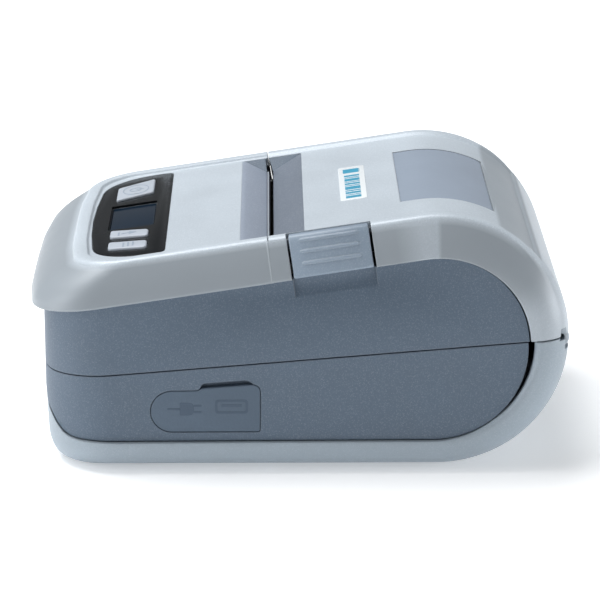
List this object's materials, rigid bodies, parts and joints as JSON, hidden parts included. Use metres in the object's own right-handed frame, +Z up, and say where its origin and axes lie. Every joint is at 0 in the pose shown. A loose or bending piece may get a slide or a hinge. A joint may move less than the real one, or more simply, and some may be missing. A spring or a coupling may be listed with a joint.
{
  "type": "receipt printer",
  "caption": "Portable thermal receipt printer with a round paper end, hinged lid with window, paper slot, sloping control panel, lid latch and a port flap.",
  "frame": {"origin": "centre of the footprint on the surface it stands on", "axes": "+Z up; -Y towards the control panel at the front, +Y towards the round paper end; +X towards the side with the lid latch and the port flap"},
  "size_m": [0.0882, 0.1228, 0.06],
  "materials": {
    "silver_plastic": "fine sparkle paint, satin",
    "grey_trim": "fine spark texture",
    "slate_plastic": "fine spark texture",
    "latch_grey": "satin",
    "flap_rubber": "soft matt",
    "smoke_window": "clear smoked, polished",
    "panel_gloss": "polished",
    "display_glass": "polished",
    "display_dark": "satin",
    "button_grey": "satin",
    "label_white": "printed film",
    "black_plastic": "matt",
    "bay_plastic": "matt",
    "plated_steel": "zinc plated",
    "pin_steel": "ground",
    "spring_steel": "bright wire",
    "head_aluminium": "sawn and anodised",
    "head_ceramic": "glazed",
    "gear_acetal": "satin",
    "pinion_brass": "cut",
    "platen_rubber": "ground rubber",
    "foot_rubber": "matt",
    "circuit_board": "solder mask",
    "connector_plastic": "satin",
    "battery_wrap": "satin film",
    "flex_film": "polyimide film"
  },
  "bodies": {
    "base": {"base_shell": "grey_trim", "lower_body": "slate_plastic", "upper_body": "slate_plastic", "front_cover": "silver_plastic", "exit_guide": "silver_plastic", "tear_bar": "plated_steel", "panel_overlay": "panel_gloss", "display_lens": "display_glass", "display_module": "display_dark", "ui_board": "circuit_board", "tact_switches": "black_plastic", "mid_frame": "black_plastic", "mechanism_frame": "plated_steel", "head_pin": "pin_steel", "head_springs": "spring_steel", "head_cable": "flex_film", "paper_guide": "black_plastic", "paper_sensor": "black_plastic", "stepper_motor": "plated_steel", "gear_pins": "pin_steel", "gear_cover": "black_plastic", "driver_board": "circuit_board", "board_connectors": "connector_plastic", "buzzer": "black_plastic", "main_board": "circuit_board", "battery_cradle": "black_plastic", "battery_pack": "battery_wrap", "battery_contacts": "pinion_brass", "dc_jack": "black_plastic", "usb_port": "plated_steel", "paper_bucket": "bay_plastic", "case_screws": "pin_steel", "feet": "foot_rubber", "hinge_pin": "pin_steel"},
    "power_button": {"power_button": "button_grey"},
    "feed_button": {"feed_button": "button_grey"},
    "menu_button": {"menu_button": "button_grey"},
    "print_head": {"head_heatsink": "head_aluminium", "print_head": "head_ceramic"},
    "motor_pinion": {"motor_pinion": "pinion_brass"},
    "idler_gear_a": {"idler_gear_a": "gear_acetal"},
    "idler_gear_b": {"idler_gear_b": "gear_acetal"},
    "battery_door": {"battery_door": "grey_trim"},
    "port_flap": {"port_flap": "flap_rubber"},
    "lid": {"lid_shell": "silver_plastic", "lid_window": "smoke_window", "lid_liner": "bay_plastic", "lid_label": "label_white", "lid_front_lip": "silver_plastic", "platen_carrier": "black_plastic", "platen_bushes": "gear_acetal", "latch_pin": "pin_steel", "latch_spring": "spring_steel"},
    "platen": {"platen_shaft": "pin_steel", "platen_rubber": "platen_rubber", "platen_gear": "gear_acetal"},
    "latch": {"latch_lever": "latch_grey"}
  },
  "joints": [
    {"name": "lid_hinge", "type": "hinge", "parent": "base", "child": "lid", "pos_m": [0, 0.0592, 0.031], "axis": [-1, 0, 0], "range_deg": [0, 90]},
    {"name": "latch_lever", "type": "hinge", "parent": "lid", "child": "latch", "pos_m": [0.0394, 0.00705, 0.05509], "axis": [0, -0.9888, -0.1495], "range_deg": [0, 20], "stiffness_Nm_per_rad": 0.02},
    {"name": "platen_spin", "type": "hinge", "parent": "lid", "child": "platen", "pos_m": [0, -0.0008, 0.0435], "axis": [1, 0, 0], "continuous": true},
    {"name": "idler_a_spin", "type": "hinge", "parent": "base", "child": "idler_gear_a", "pos_m": [-0.0376, -0.00345, 0.03077], "axis": [1, 0, 0], "continuous": true},
    {"name": "idler_b_spin", "type": "hinge", "parent": "base", "child": "idler_gear_b", "pos_m": [-0.0376, -0.01496, 0.03418], "axis": [1, 0, 0], "continuous": true},
    {"name": "pinion_spin", "type": "hinge", "parent": "base", "child": "motor_pinion", "pos_m": [-0.0376, -0.02296, 0.03418], "axis": [1, 0, 0], "continuous": true},
    {"name": "head_tilt", "type": "hinge", "parent": "base", "child": "print_head", "pos_m": [0, -0.0095, 0.0345], "axis": [1, 0, 0], "range_deg": [0, 2], "stiffness_Nm_per_rad": 2},
    {"name": "battery_door_hinge", "type": "hinge", "parent": "base", "child": "battery_door", "pos_m": [-0.005, -0.0518, 0.0004], "axis": [-1, 0, 0], "range_deg": [0, 100]},
    {"name": "port_flap_hinge", "type": "hinge", "parent": "base", "child": "port_flap", "pos_m": [0.0425, -0.0333, 0.015], "axis": [0, 0, -1], "range_deg": [0, 110]},
    {"name": "power_button_press", "type": "slide", "parent": "base", "child": "power_button", "axis": [0, 0.1495, -0.9888], "range_m": [0, 0.0006], "stiffness_N_per_m": 400},
    {"name": "feed_button_press", "type": "slide", "parent": "base", "child": "feed_button", "axis": [0, 0.1495, -0.9888], "range_m": [0, 0.0006], "stiffness_N_per_m": 400},
    {"name": "menu_button_press", "type": "slide", "parent": "base", "child": "menu_button", "axis": [0, 0.1495, -0.9888], "range_m": [0, 0.0006], "stiffness_N_per_m": 400}
  ],
  "couplings": [
    {"joint": "idler_a_spin", "follows": "platen_spin", "ratio": -0.85714},
    {"joint": "idler_b_spin", "follows": "platen_spin", "ratio": 1.2},
    {"joint": "pinion_spin", "follows": "platen_spin", "ratio": -2}
  ]
}
